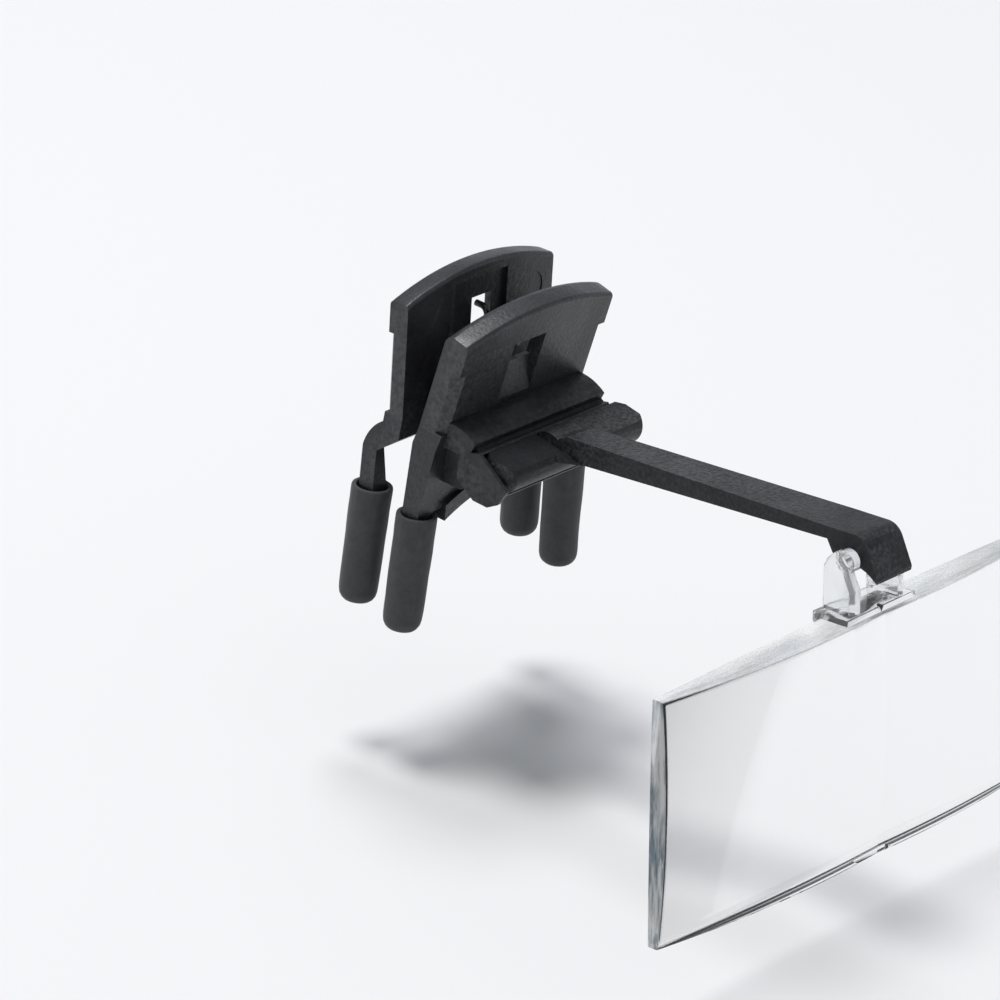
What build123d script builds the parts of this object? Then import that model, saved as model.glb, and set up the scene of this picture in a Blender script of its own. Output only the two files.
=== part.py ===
from build123d import *
from math import sin, cos, tan, radians, sqrt, pi
import os

# Clip-on loupe for spectacles: a sprung two-lever clip with rubber jaws, a flip-up arm
# and a clear twin magnifying lens that tilts on the end of the arm.
# Frame: X across the face, -Y forward along the arm, +Z up along the rubber sleeves.
# The origin is the middle of the jaw gap, where the spectacle lens is held.
# All lengths are in millimetres and all angles in degrees.

# Jaws
JAW_GAP = 1.8                # spectacle lens held between the sleeves
SLEEVE_TOP_D = 5.1
SLEEVE_TIP_D = 4.8
SLEEVE_LENGTH = 15.0
SLEEVE_TIP_ROUND = 1.2
SLEEVE_MOUTH_D = 3.9
SLEEVE_MOUTH_DEPTH = 1.2
SLEEVE_END_WALL = 2.0
FRONT_SLEEVE_TOP_Z = 7.4
REAR_SLEEVE_TOP_Z = 8.6
FRONT_LEG_SPREAD = 26.9      # between the leg axes at the sleeve mouths
REAR_LEG_SPREAD = 27.8
LEG_SPLAY = 3.0              # the legs spread outward towards their tips
FRONT_LEG_WIDTH = 2.8
REAR_LEG_WIDTH = 2.4
REAR_LEG_DEPTH = 2.2
PRONG_D = 2.6
PRONG_FIT = 0.03             # radial, prong in sleeve
RUBBER_GAP = 0.3             # between a sleeve and anything it is not fitted to

# Levers
LEG_T = 2.4
FRONT_PADDLE_T = 3.5
REAR_PADDLE_T = 2.8
PADDLE_WIDTH = 26.0
PADDLE_ARCH_RISE = 2.2
PADDLE_EDGE_ROUND = 0.5
FRONT_BACK_ROUND = 1.2       # the front paddle's top edge towards the rear one
PADDLE_FOOT_Z = 18.0         # where the paddles' straight sides end
HEAD_HEIGHT = 4.2            # square-edged top of each paddle, above the bevels
FRONT_EDGE_BEVEL = 1.1
REAR_EDGE_BEVEL = 0.8
FRONT_CORNER_Z = 30.5        # where the front paddle's arched top starts
REAR_CORNER_Z = 32.3
FRONT_KNEE_Z = 16.0
FRONT_LEAN = 12.2            # front paddle leans forward
FRONT_LEG_LEAN = 3.0
REAR_LEAN = 3.4              # rear paddle leans back
REAR_LEG_LEAN = 11.0
REAR_KNEE_Z = 15.4
REAR_UNDERSIDE_Z = 13.2
REAR_SHOULDER_H = 3.6
FRONT_ARCH_FOOT_Z = 6.3
FRONT_ARCH_RISE = 2.6
RIB_HEIGHT = 1.8
RIB_PROUD = 0.8

# Spring pockets, windows and channels
FRONT_POCKET_WIDTH = 5.6
FRONT_POCKET_DEPTH = 1.3     # at the window's lower lip
FRONT_POCKET_TOP_Z = 28.4
FRONT_LIP_Z = 25.0           # lower lip of the window
FRONT_POCKET_FOOT_Z = 20.6
REAR_POCKET_WIDTH = 5.6
REAR_POCKET_TOP_Z = 30.4
REAR_POCKET_H = 8.0
REAR_WINDOW_WIDTH = 3.4
REAR_WINDOW_X = 0.6
REAR_WINDOW_TOP_Z = 30.05
REAR_WINDOW_H = 3.8
POCKET_WEB = 1.0
CHANNEL_WIDTH = 9.4
CHANNEL_DROP = 0.5           # channel top above the paddle's corners
FRONT_CHANNEL_DEPTH = 1.6
REAR_CHANNEL_DEPTH = 0.45
MARK_D = 4.2                 # round marks that the mould's pins leave
MARK_DEPTH = 0.12
LEFT_MARK_X = -7.4
LEFT_MARK_Z = 27.0
RIGHT_MARK_X = 9.1
RIGHT_MARK_Z = 28.8

# Hinge between the levers
PIVOT_Z = 17.2
PIVOT_DEPTH = 4.2            # front paddle's outer face to the pivot
REAR_GAP = 1.75              # pivot to the rear lever's inner face
PIN_D = 2.0
PIN_FIT = 0.05
PIN_PRESS = 0.01
PIN_PROUD = 0.2
LUG_D = 4.0
LUG_T = 2.0
LUG_GAP = 0.3
REAR_LUG_X = 4.2             # inner face of each rear lug
LUG_RELIEF = 0.35

# Jaw spring
WIRE_D = 0.8
COIL_CLEAR = 0.2             # round the pin
COIL_PITCH = 1.5
COIL_TURNS = 3               # whole turns between the two legs, plus the part turn
FRONT_LEG_ANGLE = 9.0
HOOK_X = 1.2
FRONT_HOOK_Z = 27.3
REAR_HOOK_Z = 28.4
HOOK_BEND_R = 1.0
HOOK_LENGTH = 0.9
COIL_RELIEF = 0.3

# Hinge cradle and roller
ROLLER_Y = -13.0
ROLLER_Z = 15.8
ROLLER_D = 5.3
ROLLER_FIT = 0.06
ROLLER_OVERHANG = 1.6        # past the cradle's open right end
ROLLER_END_GAP = 0.15        # to the cradle's closed left end
ROLLER_CHAMFER = 0.8
ROLLER_FLAT = 1.45           # roller axis to the flats along its top
ROLLER_FLAT_TILT = 9.2
CRADLE_LEFT = 12.1           # left end from the middle plane
CRADLE_RIGHT = 11.3
CRADLE_END_WALL = 0.55
CRADLE_BASE_WIDTH = 22.6
CRADLE_BASE_Y = -7.7
CRADLE_TOP_Z = 19.8
CRADLE_BASE_FOOT_Z = 11.6
CRADLE_WEB = 2.4             # how far the base runs into the bar
CRADLE_FOOT_SLOPE = 1.2
PEG_D = 2.0
PEG_SPREAD = 18.0
PEG_Z = 13.6
PEG_FIT = 0.03
PEG_ROOT = 2.4               # length of a peg inside the cradle's base

# Arm
ARM_REACH = 45.9             # roller axis to lens axle, along Y
ARM_CLIMB = 4.9              # roller axis to lens axle, along Z
ARM_ROOT_TOP = 3.1           # top of the arm above the roller axis
ARM_ROOT_HEIGHT = 3.0
ARM_ROOT_WIDTH = 4.6
HOOK_WIDTH = 6.3
FLARE_WIDTH = 10.4
FLARE_LENGTH = 6.5
HOOK_ROUND = 2.3             # outer top corner of the hook
HOOK_TIP_ROUND = 0.7

# Lens
AXLE_D = 2.8
AXLE_FIT = 0.06
EAR_T = 1.5
EAR_D = 4.6
EAR_BEVEL = 0.5
EAR_GAP = 0.3                # between an ear and the hook
LENS_TILT = 6.9              # the lens leans back at its top
LENS_DROP = 6.65             # axle to the lens's top edge
LENS_WIDTH = 73.8
LENS_HEIGHT = 30.2
FRONT_RADIUS = 155.0
BACK_RADIUS = 900.0
FRONT_CREST = 3.8            # furthest front point ahead of the axle
BACK_CREST = 1.75
OPTIC_OFFSET = 9.0           # optical centre of each half from the seam
PAD_WIDTH = 12.6
PAD_HEIGHT = 0.7
SEAM_NOTCH = 0.9
GATE_WIDTH = 6.5
GATE_HEIGHT = 0.3
GATE_DEPTH = 2.0

OVERRUN = 6.0                # how far cuts run past what they cut
TURN = 360                   # degrees in a whole turn
leg_end_share = 0.85         # how far a leg reaches into its sleeve's mouth

SLEEVE_Y = JAW_GAP / 2 + SLEEVE_TOP_D / 2
FACE_T = FRONT_PADDLE_T / cos(radians(FRONT_LEAN))
os.makedirs("parts", exist_ok=True)


def yz_prism(width, *edges):
    """Closed outline in Y and Z, extruded to both sides of X = 0."""
    return extrude(Plane.YZ * make_face(list(edges)), amount=width / 2, both=True)


def xz_prism(depth, *edges):
    """Closed outline in X and Z, extruded to both sides of Y = 0."""
    return extrude(Plane.XZ * make_face(list(edges)), amount=depth, both=True)


def loop(points):
    """Straight edges through the points and back to the first."""
    return Polyline(*points, close=True).edges()


def block(x0, x1, y0, y1, z0, z1):
    """Box between two corners."""
    size = (x1 - x0, y1 - y0, z1 - z0)
    return Pos((x0 + x1) / 2, (y0 + y1) / 2, (z0 + z1) / 2) * Box(*size)


def x_rod(radius, x0, x1, y, z):
    """Cylinder along X."""
    return Pos((x0 + x1) / 2, y, z) * Rot(0, 90, 0) * Cylinder(radius, x1 - x0)


# Faces of the levers
FRONT_LEG_Y = -SLEEVE_Y - LEG_T / 2
FRONT_KNEE_Y = FRONT_LEG_Y - (FRONT_KNEE_Z - FRONT_SLEEVE_TOP_Z) * tan(radians(FRONT_LEG_LEAN))


def front_face(z):
    """Y of the front lever's outer face."""
    lean = FRONT_LEAN if z > FRONT_KNEE_Z else FRONT_LEG_LEAN
    return FRONT_KNEE_Y - (z - FRONT_KNEE_Z) * tan(radians(lean))


PIVOT_Y = front_face(PIVOT_Z) + PIVOT_DEPTH


def rear_face(z):
    """Y of the rear lever's inner face."""
    return PIVOT_Y + REAR_GAP + (z - PIVOT_Z) * tan(radians(REAR_LEAN))


def rear_leg(z):
    """Y of the rear leg's centre."""
    return SLEEVE_Y + (z - REAR_SLEEVE_TOP_Z) * tan(radians(REAR_LEG_LEAN))


def paddle_sides(corner_z):
    """Half outline points of a paddle, from above its top down its straight side."""
    x, above_z = PADDLE_WIDTH / 2, corner_z + OVERRUN
    return [(0, above_z), (x, above_z), (x, PADDLE_FOOT_Z)]


def arched_cap(y, corner_z, lean):
    """All that lies under a paddle's arched top, which is square to the leaning paddle."""
    a, b = PADDLE_WIDTH / 2, PADDLE_WIDTH / 2 + OVERRUN
    arch = ThreePointArc((-a, 0), (0, PADDLE_ARCH_RISE), (a, 0))
    half = [(a, 0), (b, 0), (b, -2 * corner_z)]
    foot = Line((-b, -2 * corner_z), (b, -2 * corner_z))
    return Pos(0, y, corner_z) * Rot(lean, 0, 0) * xz_prism(corner_z, arch, *mirrored(half), foot)


def edge_bevels(y, corner_z, lean, size):
    """Cuts along the two upright edges of a leaning face, from below its head to its foot."""
    length = (corner_z - HEAD_HEIGHT - PADDLE_FOOT_Z) / cos(radians(lean))
    cut = Pos(0, 0, -HEAD_HEIGHT - length / 2) * Rot(0, 0, TURN / 8) * Box(
        sqrt(2) * size, sqrt(2) * size, length)
    right, left = [Pos(side * PADDLE_WIDTH / 2, y, corner_z) * Rot(lean, 0, 0) * cut for side in (1, -1)]
    return right + left


def top_edges(lever, corner_z):
    """Long edges of a paddle's arched top, from the front to the back."""
    boxes = [(e, e.bounding_box()) for e in lever.edges()]
    tops = [e for e, box in boxes
            if box.min.Z > corner_z - PADDLE_EDGE_ROUND and box.size.X > PADDLE_WIDTH / 2]
    return ShapeList(tops).sort_by(Axis.Y)


def round_top(lever, corner_z, back_round):
    """Rounds the front and back edges of a paddle's arched top."""
    lever = fillet(top_edges(lever, corner_z)[0], PADDLE_EDGE_ROUND)
    return fillet(top_edges(lever, corner_z)[-1], back_round)


def mirrored(points):
    """Edges through the points, and through their mirror images about X = 0."""
    right = Polyline(*points).edges()
    left = Polyline(*[(-x, z) for x, z in points]).edges()
    return list(right) + list(left)


def prong(side, spread, y, top_z):
    """Round prong on the end of a leg, along the splayed sleeve axis."""
    start = SLEEVE_MOUTH_DEPTH / 2
    length = SLEEVE_LENGTH - SLEEVE_END_WALL - start
    rod = Pos(0, 0, -start - length / 2) * Cylinder(PRONG_D / 2, length)
    return Pos(side * spread / 2, y, top_z) * Rot(0, -side * LEG_SPLAY, 0) * rod


def sleeve(side, spread, y, top_z):
    """Tapered rubber tube with a closed, rounded tip."""
    r0, r1, rr = SLEEVE_TOP_D / 2, SLEEVE_TIP_D / 2, SLEEVE_TIP_ROUND
    bore, mouth = PRONG_D / 2 + PRONG_FIT, SLEEVE_MOUTH_D / 2
    low, shelf = -SLEEVE_LENGTH, -SLEEVE_MOUTH_DEPTH
    bend = (r1 - rr + rr * cos(pi / 4), low + rr - rr * sin(pi / 4))
    floor = low + SLEEVE_END_WALL - RUBBER_GAP
    edges = [
        Line((mouth, 0), (r0, 0)),
        Line((r0, 0), (r1, low + rr)),
        ThreePointArc((r1, low + rr), bend, (r1 - rr, low)),
        Line((r1 - rr, low), (0, low)),
        Line((0, low), (0, floor)),
        Line((0, floor), (bore, floor)),
        Line((bore, floor), (bore, shelf)),
        Line((bore, shelf), (mouth, shelf)),
        Line((mouth, shelf), (mouth, 0)),
    ]
    tube = revolve(Plane.XZ * make_face(edges), Axis.Z)
    return Pos(side * spread / 2, y, top_z) * Rot(0, -side * LEG_SPLAY, 0) * tube


# Front lever
leg_end_z = FRONT_SLEEVE_TOP_Z - SLEEVE_MOUTH_DEPTH * leg_end_share
front_top_z = FRONT_CORNER_Z + PADDLE_ARCH_RISE + OVERRUN
front_profile = [
    (front_face(front_top_z), front_top_z),
    (front_face(FRONT_KNEE_Z), FRONT_KNEE_Z),
    (front_face(leg_end_z), leg_end_z),
    (front_face(leg_end_z) + LEG_T, leg_end_z),
    (front_face(FRONT_SLEEVE_TOP_Z) + LEG_T, FRONT_SLEEVE_TOP_Z),
    (front_face(FRONT_KNEE_Z) + FACE_T, FRONT_KNEE_Z),
    (front_face(front_top_z) + FACE_T, front_top_z),
]
leg_outer = FRONT_LEG_SPREAD / 2 + FRONT_LEG_WIDTH / 2
leg_inner = FRONT_LEG_SPREAD / 2 - FRONT_LEG_WIDTH / 2
arch_foot_x = FRONT_LEG_SPREAD / 2 - SLEEVE_TOP_D / 2 - RUBBER_GAP
crotch_z = FRONT_SLEEVE_TOP_Z + RUBBER_GAP
arch_top_z = FRONT_ARCH_FOOT_Z + FRONT_ARCH_RISE
half = paddle_sides(FRONT_CORNER_Z)
half += [
    (leg_outer, FRONT_SLEEVE_TOP_Z),
    (leg_outer, leg_end_z),
    (leg_inner, leg_end_z),
    (leg_inner, crotch_z),
    (arch_foot_x, crotch_z),
    (arch_foot_x, FRONT_ARCH_FOOT_Z),
]
nose_arch = ThreePointArc(
    (-arch_foot_x, FRONT_ARCH_FOOT_Z), (0, arch_top_z), (arch_foot_x, FRONT_ARCH_FOOT_Z))
reach = abs(front_face(front_top_z)) + OVERRUN
front_lever = yz_prism(FRONT_LEG_SPREAD + OVERRUN, *loop(front_profile))
front_lever &= xz_prism(reach, *mirrored(half), nose_arch)
front_lever &= arched_cap(front_face(FRONT_CORNER_Z), FRONT_CORNER_Z, FRONT_LEAN)
front_lever = round_top(front_lever, FRONT_CORNER_Z, FRONT_BACK_ROUND)
front_lever -= edge_bevels(front_face(FRONT_CORNER_Z), FRONT_CORNER_Z, FRONT_LEAN, FRONT_EDGE_BEVEL)

# Rib along the nose arch, proud of the outer face
arch_r = (arch_foot_x ** 2 + FRONT_ARCH_RISE ** 2) / (2 * FRONT_ARCH_RISE)
rib_y = front_face(FRONT_ARCH_FOOT_Z) - RIB_PROUD
rib = Pos(0, 0, arch_top_z - arch_r) * Rot(90, 0, 0) * (
    Cylinder(arch_r + RIB_HEIGHT, 2 * reach) - Cylinder(arch_r, 2 * reach))
rib &= block(-arch_foot_x, arch_foot_x, rib_y, front_face(arch_top_z) + LEG_T / 2,
             FRONT_ARCH_FOOT_Z, arch_top_z + RIB_HEIGHT)
front_lever += rib

# Sloping pocket and window for the spring, and the channel behind them
pocket = [
    (-reach, FRONT_LIP_Z),
    (front_face(FRONT_LIP_Z) + FRONT_POCKET_DEPTH, FRONT_LIP_Z),
    (front_face(FRONT_POCKET_FOOT_Z), FRONT_POCKET_FOOT_Z),
    (-reach, FRONT_POCKET_FOOT_Z),
]
pocket_left = -HOOK_X - FRONT_POCKET_WIDTH / 2
pocket_right = -HOOK_X + FRONT_POCKET_WIDTH / 2
front_lever -= Pos(-HOOK_X, 0, 0) * yz_prism(FRONT_POCKET_WIDTH, *loop(pocket))
front_lever -= block(pocket_left, pocket_right, -reach, 0, FRONT_LIP_Z, FRONT_POCKET_TOP_Z)
channel_foot_z = PIVOT_Z - PIN_D
channel_top_z = FRONT_CORNER_Z + CHANNEL_DROP
channel_t = FACE_T - FRONT_CHANNEL_DEPTH
channel = [
    (front_face(channel_top_z) + channel_t, channel_top_z),
    (front_face(FRONT_KNEE_Z) + channel_t, FRONT_KNEE_Z),
    (front_face(channel_foot_z) + channel_t, channel_foot_z),
    (front_face(channel_foot_z) + FACE_T + LEG_T, channel_foot_z),
    (front_face(channel_top_z) + FACE_T + LEG_T, channel_top_z),
]
front_lever -= yz_prism(CHANNEL_WIDTH, *loop(channel))

# Rear lever
rear_leg_end_z = REAR_SLEEVE_TOP_Z - SLEEVE_MOUTH_DEPTH * leg_end_share
rear_top_z = REAR_CORNER_Z + PADDLE_ARCH_RISE + OVERRUN
REAR_T = REAR_PADDLE_T / cos(radians(REAR_LEAN))
shoulder_top_z = REAR_UNDERSIDE_Z + REAR_SHOULDER_H
shoulder_y = rear_face(shoulder_top_z) + REAR_T
heel_y = rear_leg(REAR_UNDERSIDE_Z) + REAR_LEG_DEPTH / 2
bend_shares = (0.70, 0.58)   # where the shoulder's curve passes, across and up
rear_edges = Polyline(
    (heel_y, REAR_UNDERSIDE_Z),
    (rear_leg(rear_leg_end_z) + REAR_LEG_DEPTH / 2, rear_leg_end_z),
    (rear_leg(rear_leg_end_z) - REAR_LEG_DEPTH / 2, rear_leg_end_z),
    (rear_leg(REAR_UNDERSIDE_Z) - REAR_LEG_DEPTH / 2, REAR_UNDERSIDE_Z),
    (rear_face(REAR_KNEE_Z), REAR_KNEE_Z),
    (rear_face(rear_top_z), rear_top_z),
    (rear_face(rear_top_z) + REAR_T, rear_top_z),
    (shoulder_y, shoulder_top_z)).edges()
shoulder = ThreePointArc(
    (shoulder_y, shoulder_top_z),
    (shoulder_y + bend_shares[0] * (heel_y - shoulder_y),
     REAR_UNDERSIDE_Z + bend_shares[1] * REAR_SHOULDER_H),
    (heel_y, REAR_UNDERSIDE_Z))
rear_outer = REAR_LEG_SPREAD / 2 + REAR_LEG_WIDTH / 2
rear_inner = REAR_LEG_SPREAD / 2 - REAR_LEG_WIDTH / 2
half = paddle_sides(REAR_CORNER_Z)
half += [
    (rear_outer, REAR_SLEEVE_TOP_Z),
    (rear_outer, rear_leg_end_z),
    (rear_inner, rear_leg_end_z),
    (rear_inner, REAR_UNDERSIDE_Z),
]
underside = Line((-rear_inner, REAR_UNDERSIDE_Z), (rear_inner, REAR_UNDERSIDE_Z))
rear_lever = yz_prism(REAR_LEG_SPREAD + OVERRUN, *rear_edges, shoulder)
rear_lever &= xz_prism(reach, *mirrored(half), underside)
rear_lever &= arched_cap(rear_face(REAR_CORNER_Z), REAR_CORNER_Z, -REAR_LEAN)
rear_lever = round_top(rear_lever, REAR_CORNER_Z, PADDLE_EDGE_ROUND)
rear_lever -= edge_bevels(
    rear_face(REAR_CORNER_Z) + REAR_T, REAR_CORNER_Z, -REAR_LEAN, REAR_EDGE_BEVEL)
pocket_left, pocket_right = HOOK_X - REAR_POCKET_WIDTH / 2, HOOK_X + REAR_POCKET_WIDTH / 2
rear_lever -= block(pocket_left, pocket_right, rear_face(REAR_POCKET_TOP_Z) + POCKET_WEB, reach,
                    REAR_POCKET_TOP_Z - REAR_POCKET_H, REAR_POCKET_TOP_Z)
window_left = REAR_WINDOW_X - REAR_WINDOW_WIDTH / 2
rear_lever -= block(window_left, window_left + REAR_WINDOW_WIDTH, 0, reach,
                    REAR_WINDOW_TOP_Z - REAR_WINDOW_H, REAR_WINDOW_TOP_Z)
channel_top_z = REAR_CORNER_Z + CHANNEL_DROP
channel = [
    (rear_face(channel_top_z) + REAR_CHANNEL_DEPTH, channel_top_z),
    (rear_face(channel_foot_z) + REAR_CHANNEL_DEPTH, channel_foot_z),
    (rear_face(channel_foot_z) - LEG_T, channel_foot_z),
    (rear_face(channel_top_z) - LEG_T, channel_top_z),
]
rear_lever -= yz_prism(CHANNEL_WIDTH, *loop(channel))
for x, z in ((LEFT_MARK_X, LEFT_MARK_Z), (RIGHT_MARK_X, RIGHT_MARK_Z)):
    mark = Rot(90 - REAR_LEAN, 0, 0) * Cylinder(MARK_D / 2, 2 * MARK_DEPTH)
    rear_lever -= Pos(x, rear_face(z), z) * mark

# Hinge lugs on both levers, with the relief that lets each lug turn
lug_r = LUG_D / 2
front_lug_x = REAR_LUG_X + LUG_T + LUG_GAP
for side in (-1, 1):
    for lug_x in (front_lug_x, REAR_LUG_X):
        x0, x1 = sorted((side * lug_x, side * (lug_x + LUG_T)))
        relief = x_rod(lug_r + LUG_RELIEF, x0 - LUG_GAP / 2, x1 + LUG_GAP / 2, PIVOT_Y, PIVOT_Z)
        lug = x_rod(lug_r, x0, x1, PIVOT_Y, PIVOT_Z)
        if lug_x == front_lug_x:
            web_y = front_face(PIVOT_Z) + FACE_T / 2
            rear_lever -= relief
            front_lever += lug + block(x0, x1, web_y, PIVOT_Y, PIVOT_Z - lug_r, PIVOT_Z + lug_r)
        else:
            web_y = rear_face(PIVOT_Z) + REAR_T / 2
            front_lever -= relief
            rear_lever += lug + block(x0, x1, PIVOT_Y, web_y, PIVOT_Z - lug_r, PIVOT_Z + lug_r)
pin_half = front_lug_x + LUG_T + PIN_PROUD
pin_hole = pin_half + LUG_GAP
front_lever -= x_rod(PIN_D / 2 + PIN_PRESS, -pin_hole, pin_hole, PIVOT_Y, PIVOT_Z)
rear_lever -= x_rod(PIN_D / 2 + PIN_FIT, -pin_half, pin_half, PIVOT_Y, PIVOT_Z)
pivot_pin = x_rod(PIN_D / 2, -pin_half, pin_half, PIVOT_Y, PIVOT_Z)

# Jaw spring: hook, leg, coil, leg and hook as one wire
coil_r = PIN_D / 2 + COIL_CLEAR + WIRE_D / 2
front_start = TURN / 2 + FRONT_LEG_ANGLE
rear_end = TURN * (COIL_TURNS + 1) - REAR_LEAN
turn_total = (rear_end - front_start) / TURN
coil_half = COIL_PITCH * turn_total / 2


def coil_point(angle):
    """Point and unit tangent on the coil's centre line."""
    a = radians(angle)
    x = -coil_half + COIL_PITCH * (angle - front_start) / TURN
    point = Vector(x, PIVOT_Y + coil_r * cos(a), PIVOT_Z + coil_r * sin(a))
    return point, Vector(COIL_PITCH / (2 * pi * coil_r), -sin(a), cos(a)).normalized()


def biarc(p0, t0, p1, t1):
    """Two tangent arcs from one point and direction to another."""
    v, t = p1 - p0, t0 + t1
    a, b, c = 2 * t0.dot(t1) - 2, -2 * v.dot(t), v.dot(v)
    d = (-b - sqrt(b * b - 4 * a * c)) / (2 * a)
    q0, q1 = p0 + t0 * d, p1 - t1 * d
    mid = (q0 + q1) * 0.5
    return [Edge.make_tangent_arc(p0, t0, mid),
            Edge.make_tangent_arc(mid, (q1 - q0).normalized(), p1)]


p_start, t_start = coil_point(front_start)
p_end, t_end = coil_point(rear_end)
front_rise = FRONT_HOOK_Z - HOOK_BEND_R - p_start.Z
rear_rise = REAR_HOOK_Z - HOOK_BEND_R - p_end.Z
front_knee = Vector(-HOOK_X, p_start.Y - front_rise * tan(radians(FRONT_LEG_ANGLE)),
                    FRONT_HOOK_Z - HOOK_BEND_R)
rear_knee = Vector(HOOK_X, p_end.Y + rear_rise * tan(radians(REAR_LEAN)),
                   REAR_HOOK_Z - HOOK_BEND_R)
down = (p_start - front_knee).normalized()
up = (rear_knee - p_end).normalized()
front_bend = front_knee + Vector(0, -HOOK_BEND_R, HOOK_BEND_R)
rear_bend = rear_knee + Vector(0, HOOK_BEND_R, HOOK_BEND_R)
back, ahead = Vector(0, 1, 0), Vector(0, -1, 0)
wire_edges = [Edge.make_line(front_bend + ahead * HOOK_LENGTH, front_bend)]
wire_edges += biarc(front_bend, back, front_knee, down)
wire_edges += [Edge.make_line(front_knee, p_start)]
quarters = 4 * (COIL_TURNS + 1) - 2
angles = [front_start + i * (rear_end - front_start) / quarters for i in range(quarters + 1)]
for i in range(quarters):
    p0, t0 = coil_point(angles[i])
    p1, t1 = coil_point(angles[i + 1])
    wire_edges += biarc(p0, down if i == 0 else t0, p1, up if i == quarters - 1 else t1)
wire_edges += [Edge.make_line(p_end, rear_knee)]
wire_edges += biarc(rear_knee, up, rear_bend, back)
wire_edges += [Edge.make_line(rear_bend, rear_bend + back * HOOK_LENGTH)]
wire_path = Wire(wire_edges)
jaw_spring = sweep(Plane(wire_path @ 0, z_dir=wire_path % 0) * Circle(WIRE_D / 2), path=wire_path)

# Least gap between turns, on points along the wire more than half a turn apart
samples = 600
points = [wire_path @ (i / samples) for i in range(samples + 1)]
skip = int(samples * pi * coil_r / wire_path.length)
least = min((points[i] - points[j]).length
            for i in range(samples + 1) for j in range(i + skip, samples + 1)) - WIRE_D
print("jaw spring least gap to itself", round(least, 3))

# Room for the coil between the levers
relief = x_rod(coil_r + WIRE_D / 2 + COIL_RELIEF, -coil_half - WIRE_D, coil_half + WIRE_D,
               PIVOT_Y, PIVOT_Z)
front_lever -= relief
rear_lever -= relief

# Prongs and their sleeves
for side in (-1, 1):
    front_lever += prong(side, FRONT_LEG_SPREAD, -SLEEVE_Y, FRONT_SLEEVE_TOP_Z)
    rear_lever += prong(side, REAR_LEG_SPREAD, SLEEVE_Y, REAR_SLEEVE_TOP_Z)
sleeves = {
    "front_left_sleeve": sleeve(-1, FRONT_LEG_SPREAD, -SLEEVE_Y, FRONT_SLEEVE_TOP_Z),
    "front_right_sleeve": sleeve(1, FRONT_LEG_SPREAD, -SLEEVE_Y, FRONT_SLEEVE_TOP_Z),
    "rear_left_sleeve": sleeve(-1, REAR_LEG_SPREAD, SLEEVE_Y, REAR_SLEEVE_TOP_Z),
    "rear_right_sleeve": sleeve(1, REAR_LEG_SPREAD, SLEEVE_Y, REAR_SLEEVE_TOP_Z),
}

# Hinge cradle: outline points as shares of the roller's radius, from the roller's axis
roller_r = ROLLER_D / 2
trough_r = roller_r + ROLLER_FIT
bar_shares = [(1.15, 1.04), (1.34, 0.58), (0.87, 0.70)]
bar_roll_share = (1.95, 1.42)     # where the bar's rolled top passes
cheek_shares = [(-0.92, -0.51), (-0.46, -1.30), (0.11, -1.64), (0.94, -1.62)]
lip_shares = [(-0.52, -0.94), (-0.38, -1.09), (0.30, -1.24), (0.94, -1.45)]


def from_roller(shares):
    """Points in Y and Z placed from the roller's axis."""
    return [(ROLLER_Y + a * roller_r, ROLLER_Z + b * roller_r) for a, b in shares]


bar_foot_share, lobe_back_share = 0.23, -0.91
bar_foot_z = ROLLER_Z + bar_foot_share * roller_r
lobe_back_z = ROLLER_Z + lobe_back_share * roller_r


def cradle_slice(x0, x1, under_shares):
    """Length of the cradle with the rolled bar on top and the given shape under the roller."""
    top = (front_face(CRADLE_TOP_Z), CRADLE_TOP_Z)
    points = from_roller(bar_shares + under_shares)
    points += [(CRADLE_BASE_Y, lobe_back_z), (CRADLE_BASE_Y, bar_foot_z),
               (front_face(bar_foot_z), bar_foot_z), top]
    roll = ThreePointArc(top, from_roller([bar_roll_share])[0], points[0])
    piece = yz_prism(x1 - x0, roll, *Polyline(*points).edges())
    return Pos((x0 + x1) / 2, 0, 0) * piece


base = [
    (front_face(CRADLE_TOP_Z), CRADLE_TOP_Z),
    (CRADLE_BASE_Y - CRADLE_WEB, CRADLE_TOP_Z - CRADLE_WEB),
    (CRADLE_BASE_Y - CRADLE_WEB, CRADLE_BASE_FOOT_Z + CRADLE_FOOT_SLOPE),
    (CRADLE_BASE_Y, CRADLE_BASE_FOOT_Z),
    (front_face(CRADLE_BASE_FOOT_Z), CRADLE_BASE_FOOT_Z),
    (front_face(FRONT_KNEE_Z), FRONT_KNEE_Z),
]
trough_left = CRADLE_END_WALL - CRADLE_LEFT
hinge_cradle = cradle_slice(-CRADLE_LEFT, trough_left, cheek_shares)
hinge_cradle += cradle_slice(trough_left, CRADLE_RIGHT, lip_shares)
hinge_cradle += yz_prism(CRADLE_BASE_WIDTH, *loop(base))
hinge_cradle -= x_rod(trough_r, trough_left, CRADLE_RIGHT + OVERRUN, ROLLER_Y, ROLLER_Z)

# Two pegs hold the cradle in the front lever
peg_back = front_face(PEG_Z) + LEG_T
peg_length = peg_back - front_face(PEG_Z) + PEG_ROOT
for side in (-1, 1):
    at_hole = Pos(side * PEG_SPREAD / 2, peg_back - peg_length / 2, PEG_Z) * Rot(90, 0, 0)
    hinge_cradle += at_hole * Cylinder(PEG_D / 2, peg_length)
    front_lever -= at_hole * Cylinder(PEG_D / 2 + PEG_FIT, peg_length + OVERRUN)

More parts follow.
